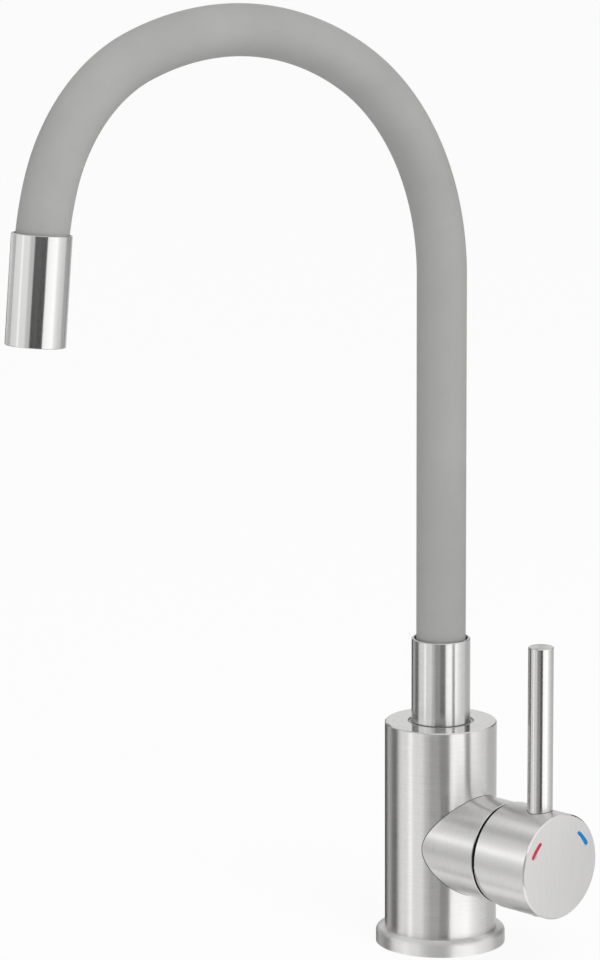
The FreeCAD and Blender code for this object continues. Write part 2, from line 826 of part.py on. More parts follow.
def hose_piece(label, start, end, outer, inner):
    """Tube along the centreline between two stations, one extrusion or turn for each run."""
    solids = []
    for point, heading, station, length, radius in hose_frames():
        low = max(start, station)
        high = min(end, station + length)
        if high - low < 1e-6:
            continue
        first, toward = along_run(point, heading, low - station, radius)
        face = ring_face(first, toward, outer.value / 2, inner.value / 2)
        if radius is None:
            solids.append(face.extrude(direction(toward) * (high - low)))
        else:
            centre = first + Vector(0, -math.cos(toward), -math.sin(toward)) * radius
            solids.append(face.revolve(centre, Vector(1, 0, 0), math.degrees((high - low) / radius)))
    shape = solids[0] if len(solids) == 1 else solids[0].multiFuse(solids[1:])
    section = math.pi * (outer.value ** 2 - inner.value ** 2) / 4
    ratio = shape.Volume / (section * (end - start))
    print(f"{label}: {end - start:.1f} mm of tube, volume over section times length {ratio:.5f}")
    piece = doc.addObject("Part::Feature", f"{label}_tube")
    piece.Shape = shape.Solids[0]
    finished(piece, label)


def hose():
    """Silicone sleeve over its gooseneck tube, each in three firm stretches and two bends."""
    half = d.bend_length.value / 2
    stations = [
        ("riser", 0.0),
        ("low_bend", d.low_bend_at.value - half),
        ("crown", d.low_bend_at.value + half),
        ("high_bend", d.high_bend_at.value - half),
        ("drop", d.high_bend_at.value + half),
        ("end", hose_length()),
    ]
    for (name, start), (_, end) in zip(stations, stations[1:]):
        hose_piece(f"sleeve_{name}", start, end, d.hose_d, d.hose_bore)
        hose_piece(f"gooseneck_{name}", start, end, d.neck_tube_d, d.neck_tube_bore)
    for name, station in (("low bend", d.low_bend_at), ("high bend", d.high_bend_at)):
        point, heading = hose_point(station.value)
        print(f"{name} pivot at y {point.y:.3f}, z {point.z:.3f}, heading {math.degrees(heading):.2f}")


# Outlet


def outlet():
    """Thin ferrule over the hose's end, with the adaptor and the aerator inside it.

    Each piece is turned about its own Z, which starts at the ferrule's mouth and points back up the
    hose, and then takes the place and the tilt of the hose's end.
    """
    end, heading = hose_point(hose_length())
    place = Placement(
        end - direction(heading) * d.hose_inset.value,
        Rotation(Vector(0, 0, 1), -direction(heading)),
    )
    print(f"outlet mouth at y {place.Base.y:.3f}, z {place.Base.z:.3f}")

    foot = -d.outlet_length
    tube = turned("outlet_tube", tube_corners(outlet_bore_r, outlet_r, foot, ZERO))
    rim(tube, "Chamfer", "outlet_foot_edge", d.outlet_edge, outlet_r, foot)
    rim(tube, "Chamfer", "outlet_mouth_edge", d.outlet_edge, outlet_r, ZERO)

    seat = -d.hose_inset
    adaptor_foot = seat - d.adaptor_height
    close_r = outlet_bore_r - d.close_fit
    adaptor = turned("adaptor_turn", [
        (water_r, adaptor_foot), (close_r, adaptor_foot), (close_r, seat),
        (barb_r, seat), (barb_r, seat + d.barb_length / 2), (water_r, seat + d.barb_length / 2),
    ])

    lip_top = foot + d.aerator_recess + d.aerator_lip
    insert_r = close_r - d.aerator_wall
    lip_r = insert_r - d.aerator_lip_width
    washer_foot = adaptor_foot - d.washer_height
    housing = turned("aerator_cup", [
        (lip_r, foot + d.aerator_recess), (close_r, foot + d.aerator_recess),
        (close_r, adaptor_foot), (insert_r, adaptor_foot),
        (insert_r, lip_top), (lip_r, lip_top),
    ])
    washer = turned("washer_ring", tube_corners(
        insert_r - d.washer_width, insert_r - d.close_fit, washer_foot, adaptor_foot))
    insert = aerator_insert(insert_r - d.close_fit, lip_top, washer_foot)
    pieces_here = (
        (tube, "outlet_ferrule"), (adaptor, "outlet_adaptor"), (housing, "aerator_housing"),
        (washer, "aerator_washer"), (insert, "aerator_insert"),
    )
    for body, label in pieces_here:
        body.Placement = place
        finished(body, label)


def aerator_insert(radius, low, high):
    """Flow straightener: a disc with two rings of holes about a middle one."""
    body = turned("insert_disc", [(ZERO, low), (radius, low), (radius, high), (ZERO, high)])
    doc.recompute()
    base_volume = body.Shape.Volume
    for ring, count in enumerate((1, 6, 12)):
        sketch = body.newObject("Sketcher::SketchObject", f"insert_hole_{count}")
        support = next(f for f in body.Origin.OriginFeatures if f.Role == "XY_Plane")
        sketch.AttachmentSupport = (support, [""])
        sketch.MapMode = "FlatFace"
        across = radius * d.aerator_ring_share * ring
        centre = Vector(across.value, 0, 0)
        sketch.addGeometry(Part.Circle(centre, Vector(0, 0, 1), d.aerator_hole_d.value / 2), False)
        for kind, size in (("DistanceX", across), ("DistanceY", ZERO)):
            made = sketch.addConstraint(Sketcher.Constraint(kind, -1, 1, 0, 3, size.value))
            sketch.setExpression(f"Constraints[{made}]", size.text)
        made = sketch.addConstraint(Sketcher.Constraint("Diameter", 0, d.aerator_hole_d.value))
        sketch.setExpression(f"Constraints[{made}]", d.aerator_hole_d.text)
        pocket = body.newObject("PartDesign::Pocket", f"insert_drill_{count}")
        pocket.Profile = sketch
        pocket.Type = "ThroughAll"
        pocket.SideType = "Symmetric"
        body.Tip = pocket
        if count > 1:
            pattern = body.newObject("PartDesign::PolarPattern", f"insert_holes_{count}")
            pattern.Originals = [pocket]
            pattern.Axis = (sketch, ["N_Axis"])
            pattern.Angle = 360
            pattern.Occurrences = count
            body.Tip = pattern
        doc.recompute()
        if not body.Shape.Volume < base_volume:
            raise ValueError("an aerator drill took nothing away")
        base_volume = body.Shape.Volume
    return body


# Fastening under the deck


def studs():
    for side, label in ((-0.5, "left"), (0.5, "right")):
        length = d.stud_reach + d.gasket_height + d.stud_bite
        stud = cylinder(f"{label}_stud_bar", stud_r, length)
        moved(stud, d.stud_forward, d.stud_spread * side, -d.stud_reach)
        finished(stud, f"stud_{label}")


def horseshoe(name, top, height):
    """Round plate with a slot for the hoses at the back and two stud holes."""
    plate = moved(cylinder(f"{name}_disc", d.clamp_d / 2, height), z=top - height)
    low = top - height - d.overrun
    through = height + d.overrun * 2
    slot = block(f"{name}_slot", d.clamp_d, d.clamp_slot, through)
    moved(slot, d.clamp_slot_end - d.clamp_d, -(d.clamp_slot / 2), low)
    tools = [slot]
    for side, label in ((-0.5, "left"), (0.5, "right")):
        hole = cylinder(f"{name}_{label}_hole", stud_r + d.loose_fit, through)
        tools.append(moved(hole, d.stud_forward, d.stud_spread * side, low))
    finished(cut(name, plate, tools), name)


def clamp():
    plate_top = -d.clamp_top - d.clamp_gasket_height
    horseshoe("clamp_gasket", -d.clamp_top, d.clamp_gasket_height)
    horseshoe("clamp_plate", plate_top, d.clamp_plate_height)
    nut_top = plate_top - d.clamp_plate_height
    for side, label in ((-0.5, "left"), (0.5, "right")):
        y = d.stud_spread * side
        prism = doc.addObject("Part::Prism", f"{label}_nut_prism")
        prism.Polygon = 6
        prism.setExpression("Circumradius", (d.nut_across / root(as_size(3))).text)
        prism.setExpression("Height", d.nut_height.text)
        moved(prism, d.stud_forward, y, nut_top - d.nut_height)
        bore = cylinder(f"{label}_nut_bore", stud_r + d.running_fit, d.nut_height)
        moved(bore, d.stud_forward, y, nut_top - d.nut_height)
        finished(cut(f"stud_nut_{label}", prism, [bore]), f"stud_nut_{label}")


def build():
    base_ring()
    base_gasket()
    tap_body()
    handle_boss()
    slip_rings()
    lock_screw()
    ported_disc("port_seal", d.fixed_disc_d / 2, d.chamber_floor, d.seal_height)
    ported_disc("cartridge_base", cartridge_r, plate_x, d.plate_height)
    ported_disc("fixed_disc", d.fixed_disc_d / 2, fixed_x, d.fixed_disc_height)
    cartridge_housing()
    cartridge_nut()
    cover_dome()
    moving_disc()
    disc_driver()
    rotor()
    stem_pin()
    lever_stem()
    handle()
    spout_foot()
    hose()
    outlet()
    studs()
    clamp()


def check():
    """Stops on any failed object or bad solid."""
    for thing in doc.Objects:
        if {"Invalid", "Error"} & set(thing.State):
            raise RuntimeError(f"{thing.Name} failed: {thing.State}")
    for label, thing in pieces.items():
        shape = thing.Shape
        if shape.isNull() or not shape.isValid() or len(shape.Solids) != 1:
            raise RuntimeError(f"{label} isn't one valid solid: {len(shape.Solids)} solids")


build()
doc.recompute()
check()
os.makedirs("parts", exist_ok=True)
for label, thing in pieces.items():
    thing.Shape.exportStep(os.path.join("parts", f"{label}.step"))
print(f"{len(pieces)} pieces written")
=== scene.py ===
import math

import bpy
from mathutils import Matrix, Vector


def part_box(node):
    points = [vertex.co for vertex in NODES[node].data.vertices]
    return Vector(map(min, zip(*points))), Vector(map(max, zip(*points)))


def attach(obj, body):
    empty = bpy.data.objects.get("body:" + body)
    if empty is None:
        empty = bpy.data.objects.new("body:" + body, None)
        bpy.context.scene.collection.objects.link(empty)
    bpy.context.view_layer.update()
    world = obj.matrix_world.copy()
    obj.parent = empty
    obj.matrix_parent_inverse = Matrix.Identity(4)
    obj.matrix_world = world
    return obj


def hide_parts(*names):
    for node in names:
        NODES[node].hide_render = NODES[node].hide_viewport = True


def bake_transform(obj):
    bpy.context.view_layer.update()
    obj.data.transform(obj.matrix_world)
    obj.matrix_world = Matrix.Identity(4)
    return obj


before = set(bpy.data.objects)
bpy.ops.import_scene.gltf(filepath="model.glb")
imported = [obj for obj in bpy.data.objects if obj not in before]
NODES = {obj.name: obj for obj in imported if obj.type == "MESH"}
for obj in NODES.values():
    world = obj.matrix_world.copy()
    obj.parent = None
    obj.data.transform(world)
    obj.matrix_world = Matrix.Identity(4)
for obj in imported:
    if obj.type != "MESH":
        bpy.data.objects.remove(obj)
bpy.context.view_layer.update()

# Kitchen mixer tap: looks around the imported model, in metres, +Z up. The spout reaches along -Y and the
# handle sticks out along +X.

MM = 0.001
X, Y, Z = range(3)
X_AXIS = Vector((1, 0, 0))
Y_AXIS = Vector((0, 1, 0))
Z_AXIS = Vector((0, 0, 1))


def ends(node, axis):
    """Lowest and highest place of a node of the model along an axis."""
    low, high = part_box(node)
    return low[axis], high[axis]


def middle(node, axis):
    return sum(ends(node, axis)) / 2


def half_width(node, axis):
    low, high = ends(node, axis)
    return (high - low) / 2


# Sizes read from the model
COLUMN_RADIUS = ends("tap_body", X)[1]
COLUMN_TOP = ends("tap_body", Z)[1]
BOSS_RADIUS = half_width("handle_boss", Z)
HANDLE_HEIGHT = middle("handle_boss", Z)
CAP_RADIUS = half_width("handle_cap", Z)
CAP_REAR, CAP_FACE = ends("handle_cap", X)
ROD_RADIUS = half_width("lever_rod", X)
ROD_PLACE = middle("lever_rod", X)
FERRULE_RADIUS = ends("lower_ferrule", X)[1]
LOCK_RADIUS = ends("spout_lock_screw", X)[1]
LOCK_HEIGHT = middle("spout_lock_screw", Z)
LOCK_NOSE, LOCK_HEAD = ends("spout_lock_screw", Y)
STUD_CREST = half_width("stud_left", X)
STUD_FORWARD = middle("stud_left", X)
STUD_SIDE = middle("stud_right", Y)
STUD_FOOT, STUD_TOP = ends("stud_left", Z)
HOSE_FOOT = ends("sleeve_riser", Z)[0]
SLEEVE_RADIUS = ends("sleeve_riser", X)[1]
CORE_RADIUS = ends("gooseneck_riser", X)[1]

# The hose's centreline, as the model has it: a straight riser from its foot, then four tangent arcs, each
# with its radius and its turn in degrees. Bends and split are stations along it.
RISE = 194.0 * MM
ARCS = ((111.5 * MM, 59.0), (151.0 * MM, 48.6), (75.0 * MM, 54.0), (127.0 * MM, 12.8))
TAIL = 4.0 * MM
LOW_BEND = (175.0 * MM, 219.0 * MM)
HIGH_BEND = (445.0 * MM, 489.0 * MM)
LOW_SOFTNESS = 30.0 * MM
HIGH_SOFTNESS = 18.0 * MM
CROWN_SPLIT = 332.0 * MM
STATION_SLACK = 1e-9
SLEEVE_WALL = 2.1 * MM
CORE_WALL = 3.4 * MM
HOSE_STEP = 2.5 * MM
SLEEVE_SIDES = 72
CORE_SIDES = 36

# Painted shade lines along the joints
SEAM_RADIUS = 0.16 * MM
SEAM_POINTS = 180
SEAM_RISE = 0.02 * MM

# Hot and cold marks: each stroke from its top end to its foot, across and up from the cap's centre
HOT_STROKE = ((-12.1 * MM, 13.2 * MM), (-17.7 * MM, 6.6 * MM))
COLD_STROKE = ((11.35 * MM, 13.6 * MM), (17.5 * MM, 6.9 * MM))
MARK_WIDTH = 1.75 * MM
MARK_BOW = 0.42 * MM
MARK_DEPTH = 0.4 * MM
MARK_PROUD = 0.04 * MM
MARK_EDGE = 0.03 * MM
MARK_COLUMNS = 32

# Lock screw
LOCK_SHOULDER = 13.8 * MM
LOCK_NOSE_RADIUS = 0.9 * MM
LOCK_KEY = 2.0 * MM
LOCK_SOCKET = 2.2 * MM
LOCK_EDGE = 0.12 * MM
LOCK_SIDES = 64
LOCK_NOSE_NORMAL = -0.9

# Clamp studs
STUD_ROOT = 2.5 * MM
STUD_PITCH = 1.0 * MM
STUD_CHAMFER = 0.3 * MM
STUD_SIDES = 24
STUD_STEP = 0.25 * MM

# Lip of the cap's oblique relief, angles in degrees
RELIEF_ANGLE = 13.0
LIP_START = 3.0
LIP_BEVEL = 1.1 * MM
LIP_BORE = 21.95 * MM
LIP_COLUMNS = 96
LIP_ROWS = 4

MERGE_DISTANCE = 0.001 * MM


# Modelling by hand


def start_clean():
    """Leaves edit mode and deselects everything, the model's own nodes included."""
    if bpy.context.object and bpy.context.object.mode != "OBJECT":
        bpy.ops.object.mode_set(mode="OBJECT")
    bpy.ops.object.select_all(action="DESELECT")


def named(name):
    """The shape that was just added, under its own name."""
    piece = bpy.context.object
    piece.name = name
    return piece


def settle():
    """Moves the object's place and turn into its mesh."""
    bpy.ops.object.transform_apply(location=True, rotation=True, scale=True)


def select_mesh():
    """Goes into edit mode with the whole mesh selected."""
    bpy.ops.object.mode_set(mode="EDIT")
    bpy.ops.mesh.select_all(action="SELECT")


def merge_doubles():
    bpy.ops.mesh.remove_doubles(threshold=MERGE_DISTANCE)
    bpy.ops.mesh.select_all(action="SELECT")


def close_mesh():
    """Turns all faces outwards and leaves edit mode."""
    bpy.ops.mesh.select_all(action="SELECT")
    bpy.ops.mesh.normals_make_consistent(inside=False)
    bpy.ops.object.mode_set(mode="OBJECT")


def soften(piece, width):
    """Rounds a piece's sharp edges."""
    soft = piece.modifiers.new("soft_edge", "BEVEL")
    soft.width = width
    soft.segments = 2
    soft.limit_method = "ANGLE"
    bpy.ops.object.modifier_apply(modifier="soft_edge")


def smooth_below(degrees):
    """Shades smoothly wherever two faces meet at less than an angle."""
    bpy.ops.object.shade_smooth_by_angle(angle=math.radians(degrees))


def cut_by(piece, tool):
    """Takes a tool's shape out of a piece and removes the tool."""
    hollow = piece.modifiers.new("cut", "BOOLEAN")
    hollow.operation = "DIFFERENCE"
    hollow.solver = "EXACT"
    hollow.object = tool
    bpy.context.view_layer.objects.active = piece
    bpy.ops.object.modifier_apply(modifier="cut")
    bpy.data.objects.remove(tool, do_unlink=True)


def dress(piece, material, body):
    """Gives a finished piece its material and the body it rides on."""
    piece.data.materials.clear()
    piece.data.materials.append(material)
    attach(piece, body)


# Camera: fitted to the photograph's edges, angles in degrees
CAMERA_PLACE = Vector((1.41949, -1.46207, 0.61587))
CAMERA_YAW = 45.91
CAMERA_PITCH = 11.24
CAMERA_ROLL = -0.21
CAMERA_LENS = 176.25
CAMERA_SENSOR = 36
CAMERA_NEAR = 0.05
CAMERA_FAR = 60


def photo_camera():
    """Long lens from the front right, a little above, as the photograph was taken."""
    yaw = math.radians(CAMERA_YAW)
    pitch = math.radians(CAMERA_PITCH)
    roll = math.radians(CAMERA_ROLL)
    ahead = Vector((-math.sin(yaw) * math.cos(pitch), math.cos(yaw) * math.cos(pitch), -math.sin(pitch)))
    right = Vector((math.cos(yaw), math.sin(yaw), 0))
    up = right.cross(ahead)
    rolled_right = right * math.cos(roll) + up * math.sin(roll)
    rolled_up = up * math.cos(roll) - right * math.sin(roll)
    data = bpy.data.cameras.new("photo_camera")
    data.sensor_width = CAMERA_SENSOR
    data.lens = CAMERA_LENS
    data.clip_start = CAMERA_NEAR
    data.clip_end = CAMERA_FAR
    camera = bpy.data.objects.new("photo_camera", data)
    bpy.context.scene.collection.objects.link(camera)
    turn = Matrix((rolled_right, rolled_up, -ahead)).transposed()
    camera.matrix_world = Matrix.Translation(CAMERA_PLACE) @ turn.to_4x4()
    bpy.context.scene.camera = camera


# Shader building


def shader_tree(name):
    material = bpy.data.materials.new(name)
    material.use_nodes = True
    material.node_tree.nodes.clear()
    return material, material.node_tree


def add_node(tree, kind, **settings):
    made = tree.nodes.new(kind)
    for key, value in settings.items():
        setattr(made, key, value)
    return made


def feed(tree, socket, value):
    """Links an output, or sets a plain value."""
    if value is None:
        return
    if isinstance(value, bpy.types.NodeSocket):
        tree.links.new(value, socket)
    else:
        socket.default_value = value


def shown(tree, shader, output="ShaderNodeOutputMaterial"):
    """Joins a shader to the output."""
    tree.links.new(shader.outputs[0], add_node(tree, output).inputs["Surface"])


def mixed(tree, factor, first, second):
    made = add_node(tree, "ShaderNodeMixShader")
    tree.links.new(factor, made.inputs[0])
    tree.links.new(first.outputs[0], made.inputs[1])
    tree.links.new(second.outputs[0], made.inputs[2])
    return made


def lit(tree, kind, colour, strength):
    """Background or emission with its plain values set."""
    made = add_node(tree, kind)
    made.inputs["Color"].default_value = (*colour, 1)
    made.inputs["Strength"].default_value = strength
    return made


def principled(tree, colour, metallic, roughness):
    """Shader with its plain values set, joined to the output."""
    shader = add_node(tree, "ShaderNodeBsdfPrincipled")
    shader.inputs["Base Color"].default_value = (*colour, 1)
    shader.inputs["Metallic"].default_value = metallic
    shader.inputs["Roughness"].default_value = roughness
    shown(tree, shader)
    return shader


def object_place(tree):
    return add_node(tree, "ShaderNodeTexCoord").outputs["Object"]


def vector_math(tree, operation, first, second=None):
    made = add_node(tree, "ShaderNodeVectorMath", operation=operation)
    for socket, value in zip(made.inputs, (first, second)):
        feed(tree, socket, value)
    return made.outputs["Value" if operation in ("DOT_PRODUCT", "LENGTH") else "Vector"]


def scalar_math(tree, operation, first, second=None):
    made = add_node(tree, "ShaderNodeMath", operation=operation)
    for socket, value in zip(made.inputs, (first, second)):
        feed(tree, socket, value)
    return made.outputs[0]


def scaled_by(tree, value, factor):
    return scalar_math(tree, "MULTIPLY", value, factor)


def combine(tree, x, y, z):
    made = add_node(tree, "ShaderNodeCombineXYZ")
    for socket, value in zip(made.inputs, (x, y, z)):
        feed(tree, socket, value)
    return made.outputs[0]


# Places of the vector sockets on a mix node
MIX_FIRST = 4
MIX_SECOND = 5
MIX_RESULT = 1


def blended(tree, mask, first, second):
    """First vector where the mask is 0, second where it is 1."""
    made = add_node(tree, "ShaderNodeMix", data_type="VECTOR")
    tree.links.new(mask, made.inputs["Factor"])
    feed(tree, made.inputs[MIX_FIRST], first)
    feed(tree, made.inputs[MIX_SECOND], second)
    return made.outputs[MIX_RESULT]


# Share of a noise's own range that the finishes use, and how quickly its finer layers fade
NOISE_LOW = 0.3
NOISE_HIGH = 0.7
NOISE_FADE = 0.55


def noise(tree, vector, scale, detail):
    made = add_node(tree, "ShaderNodeTexNoise")
    made.inputs["Scale"].default_value = scale
    made.inputs["Detail"].default_value = detail
    made.inputs["Roughness"].default_value = NOISE_FADE
    tree.links.new(vector, made.inputs["Vector"])
    return made.outputs["Fac"]


def ranged(tree, value, low, high):
    """Noise spread between two values."""
    made = add_node(tree, "ShaderNodeMapRange")
    made.inputs["From Min"].default_value = NOISE_LOW
    made.inputs["From Max"].default_value = NOISE_HIGH
    made.inputs["To Min"].default_value = low
    made.inputs["To Max"].default_value = high
    tree.links.new(value, made.inputs["Value"])
    return made.outputs["Result"]


def tinted(tree, value, colour, darker, lighter):
    """Noise as a colour between a darker and a lighter share of one tone."""
    made = add_node(tree, "ShaderNodeValToRGB")
    steps = made.color_ramp.elements
    for step, position, share in zip(steps, (NOISE_LOW, NOISE_HIGH), (darker, lighter)):
        step.position = position
        step.color = (*(min(1.0, part * share) for part in colour), 1)
    tree.links.new(value, made.inputs["Fac"])
    return made.outputs["Color"]


def bumped(tree, shader, height, strength, distance, level=None):
    made = add_node(tree, "ShaderNodeBump")
    feed(tree, made.inputs["Normal"], level)
    made.inputs["Strength"].default_value = strength
    made.inputs["Distance"].default_value = distance
    tree.links.new(height, made.inputs["Height"])
    tree.links.new(made.outputs["Normal"], shader.inputs["Normal"])


# Studio: what lights the tap and what the steel mirrors. Cards and two graded shells stand round it, seen
# in the steel only. Angles run from the camera's side, growing to its right; levels are shares of white.
WHITE = (1, 1, 1)
WARM_WHITE = (1, 1, 0.995)
WORLD_LIGHT = 0.72
FLOOR_SIZE = 24
FLOOR_DROP = 0.05 * MM
FLOOR_PAINT = (0.86, 0.86, 0.86)
FLOOR_WHITENESS = 0.9
TOWARD = Vector((CAMERA_PLACE.x, CAMERA_PLACE.y, 0)).normalized()
ASIDE = Z_AXIS.cross(TOWARD)
SHELL_GLOW = 2.0
DRUM_SPAN = (-38, 262)
DRUM_HEIGHTS = (-1.5, 0.95)
DRUM_DISTANCE = 1.7
DRUM_COLUMNS = 72
DRUM_TONES = (
    (-180, 0.50), (-173, 0.24), (-167, 0.06), (-145, 0.06), (-140, 0.50), (-127, 0.46), (-122, 0.30),
    (-118, 0.08), (-101, 0.08), (-98, 0.55), (-38, 0.86), (-34, 0.80), (-8, 0.80), (-4, 1.00),
    (17.5, 1.00), (18.5, 1.33), (32, 1.50), (58, 1.66), (66, 1.36), (74, 1.10), (86, 0.97), (98, 0.84),
    (112, 0.71), (124, 0.65), (140, 0.64), (158, 0.70), (172, 0.80), (180, 0.60),
)
TROUGH_SPAN = (-150, 150)
TROUGH_ENDS = (-3.2, 0.2)
TROUGH_DISTANCE = 2.3
TROUGH_COLUMNS = 48
TROUGH_TONES = (
    (-150, 0.50), (-120, 0.50), (-100, 0.62), (-80, 0.80), (-60, 1.08), (-40, 1.20), (-28, 1.04),
    (-17, 0.72), (-8, 0.80), (2, 0.96), (10, 1.20), (17, 1.48), (24, 1.28), (36, 1.07), (46, 0.86),
    (55, 0.43), (64, 0.38), (72, 0.76), (82, 1.08), (90, 0.94), (100, 0.56), (115, 0.38), (150, 0.50),
)
# name, start and end angle, low and high edge, distance, level
CARDS = (
    ("front_dark_card", -3, 17.5, -0.88, 0.46, 1.60, 0.03),
    ("front_high_card", -23, 20, -0.13, 0.64, 1.55, 0.01),
    ("front_grey_card", -34, -3, -0.95, 0.06, 1.60, 0.46),
    ("left_glow_card", -69, -61, -1.3, 0.9, 1.60, 1.45),
    ("high_left_card", -150, -92, 0.12, 0.36, 1.60, 1.10),
    ("rim_left_card", -152, -104, 0.36, 0.80, 1.60, 0.04),
    ("high_glow_card", 70, 107, 0.14, 0.70, 1.60, 1.24),
    ("high_right_card", 108, 150, 0.14, 0.70, 1.60, 0.03),
    ("low_right_card", 84, 132, -0.62, -0.25, 1.60, 0.74),
    ("back_left_card", -190, -152, 0.24, 0.95, 1.60, 0.80),
    ("back_right_card", 140, 170, 0.10, 0.95, 1.60, 0.36),
)
CARD_COLUMNS = 8
# name, width, power, place
LAMPS = (
    ("right_softbox", 1.2, 19, (1.7, -0.5, 1.6)),
    ("left_softbox", 1.6, 3, (-1.3, -1.6, 1.5)),
)
LAMP_AIM = Vector((0, 0, 0.2))


def shown_rays(tree):
    """1 for camera, glossy and transmission rays, which see the white backdrop."""
    path = add_node(tree, "ShaderNodeLightPath")
    direct = scalar_math(tree, "MAXIMUM", path.outputs["Is Camera Ray"], path.outputs["Is Glossy Ray"])
    return scalar_math(tree, "MAXIMUM", direct, path.outputs["Is Transmission Ray"])


def studio_world():
    """White backdrop for what the camera and the metal see, softer light on matte faces."""
    world = bpy.data.worlds.new("studio_world")
    world.use_nodes = True
    tree = world.node_tree
    tree.nodes.clear()
    light = lit(tree, "ShaderNodeBackground", WHITE, WORLD_LIGHT)
    backdrop = lit(tree, "ShaderNodeBackground", WHITE, 1.0)
    shown(tree, mixed(tree, shown_rays(tree), light, backdrop), "ShaderNodeOutputWorld")
    bpy.context.scene.world = world


def floor_material():
    """Pale matte floor that stays near white to the camera and keeps a soft shadow."""
    material, tree = shader_tree("pale_floor")
    matte = add_node(tree, "ShaderNodeBsdfDiffuse")
    matte.inputs["Color"].default_value = (*FLOOR_PAINT, 1)
    white = lit(tree, "ShaderNodeEmission", WHITE, 1.0)
    share = scaled_by(tree, shown_rays(tree), FLOOR_WHITENESS)
    shown(tree, mixed(tree, share, matte, white))
    return material


def deck_floor():
    """Floor a hair under the foot, so that the two undersides don't flicker."""
    start_clean()
    bpy.ops.mesh.primitive_plane_add(size=FLOOR_SIZE, location=(0, 0, -FLOOR_DROP))
    floor = named("deck_floor")
    floor.data.materials.append(floor_material())
    floor.visible_glossy = False


def swept_tone(name, first, second, tones):
    """Glow that follows the angle from the first direction towards the second."""
    material, tree = shader_tree(name)
    place = object_place(tree)
    angle = scalar_math(tree, "ARCTAN2", vector_math(tree, "DOT_PRODUCT", place, second),
                        vector_math(tree, "DOT_PRODUCT", place, first))
    turn = scalar_math(tree, "ADD", scalar_math(tree, "DIVIDE", angle, 2 * math.pi), 0.5)
    ramp = add_node(tree, "ShaderNodeValToRGB")
    steps = ramp.color_ramp.elements
    for number, (degrees, level) in enumerate(tones):
        position = degrees / 360 + 0.5
        step = steps[0] if number == 0 else steps.new(position)
        step.position = position
        step.color = (*(part * level / SHELL_GLOW for part in WARM_WHITE), 1)
    steps.remove(steps[-1])
    tree.links.new(turn, ramp.inputs["Fac"])
    glow = lit(tree, "ShaderNodeEmission", WHITE, SHELL_GLOW)
    tree.links.new(ramp.outputs["Color"], glow.inputs["Color"])
    shown(tree, glow)
    return material


def plain_tone(name, level):
    material, tree = shader_tree(name)
    shown(tree, lit(tree, "ShaderNodeEmission", WARM_WHITE, level))
    return material


def curved_card(name, columns, place, tone):
    """Card bent through a function of its two shares, seen in the steel only."""
    start_clean()
    bpy.ops.mesh.primitive_grid_add(x_subdivisions=columns, y_subdivisions=1, size=1, location=(0, 0, 0))
    card = named(name)
    for vertex in card.data.vertices:
        vertex.co = place(vertex.co.x + 0.5, vertex.co.y + 0.5)
    card.data.materials.append(tone)
    card.visible_camera = False
    card.visible_diffuse = False
    card.visible_shadow = False


def between(span, share):
    return span[0] + (span[1] - span[0]) * share


def upright_card(name, angles, heights, distance, tone, columns):
    """Card round the tap between two angles and two heights."""
    def place(across, up):
        angle = math.radians(between(angles, across))
        flat = (TOWARD * math.cos(angle) + ASIDE * math.sin(angle)) * distance
        return Vector((flat.x, flat.y, between(heights, up)))
    curved_card(name, columns, place, tone)


def side_trough():
    """Shell along the handle's axis: it draws the bands along boss and cap."""
    def place(across, up):
        angle = math.radians(between(TROUGH_SPAN, across))
        flat = Vector((0, -math.cos(angle), math.sin(angle))) * TROUGH_DISTANCE
        return flat + X_AXIS * between(TROUGH_ENDS, up)
    tone = swept_tone("trough_tone", -Y_AXIS, Z_AXIS, TROUGH_TONES)
    curved_card("side_trough", TROUGH_COLUMNS, place, tone)


def studio_lamp(name, size, power, place):
    """Square soft light that points at the tap and isn't mirrored in it."""
    data = bpy.data.lights.new(name, "AREA")
    data.shape = "SQUARE"
    data.size = size
    data.energy = power
    lamp = bpy.data.objects.new(name, data)
    bpy.context.scene.collection.objects.link(lamp)
    turn = (LAMP_AIM - Vector(place)).to_track_quat("-Z", "Y")
    lamp.matrix_world = Matrix.Translation(place) @ turn.to_matrix().to_4x4()
    lamp.visible_glossy = False


def studio():
    studio_world()
    deck_floor()
    drum_tone = swept_tone("drum_tone", TOWARD, ASIDE, DRUM_TONES)
    upright_card("studio_drum", DRUM_SPAN, DRUM_HEIGHTS, DRUM_DISTANCE, drum_tone, DRUM_COLUMNS)
    side_trough()
    for name, start, end, low, high, distance, level in CARDS:
        tone = plain_tone(f"{name}_tone", level)
        upright_card(name, (start, end), (low, high), distance, tone, CARD_COLUMNS)
    for lamp in LAMPS:
        studio_lamp(*lamp)


# Finishes

# Brushed steels: colour, roughness, how much the lines show in tone, how deep they are cut
STEELS = {
    "column_steel": ((0.73, 0.725, 0.715), 0.31, 0.8, 0.08),
    # lighter than the column's steel: painted light on the foot, standing in for the bright reflection its
    # shoulder misses
    "lightened_foot_steel": ((0.88, 0.875, 0.865), 0.47, 0.6, 0.06),
    "boss_steel": ((0.74, 0.735, 0.725), 0.31, 0.8, 0.08),
    "cap_steel": ((0.80, 0.795, 0.785), 0.32, 0.55, 0.055),
    # darker copy of the cap's steel: painted shade on the facet of the oblique relief
    "shaded_lip_steel": ((0.60, 0.595, 0.585), 0.34, 0.5, 0.05),
    # darker than the column's steel, as painted shade that dims the rod's highlight
    "darkened_rod_steel": ((0.66, 0.655, 0.645), 0.215, 0.5, 0.003),
    "ferrule_steel": ((0.67, 0.67, 0.665), 0.27, 0.6, 0.003),
    "outlet_steel": ((0.62, 0.62, 0.615), 0.20, 0.2, 0.002),
}
SHEEN_STRETCH = 0.96
QUARTER_TURN = 0.25
LINES_PER_METRE = 1000.0
LINES_SLANT = 0.7
STROKES_ROUND = 2.4
COARSE_LINES = 0.9
FINE_LINES = 3.4
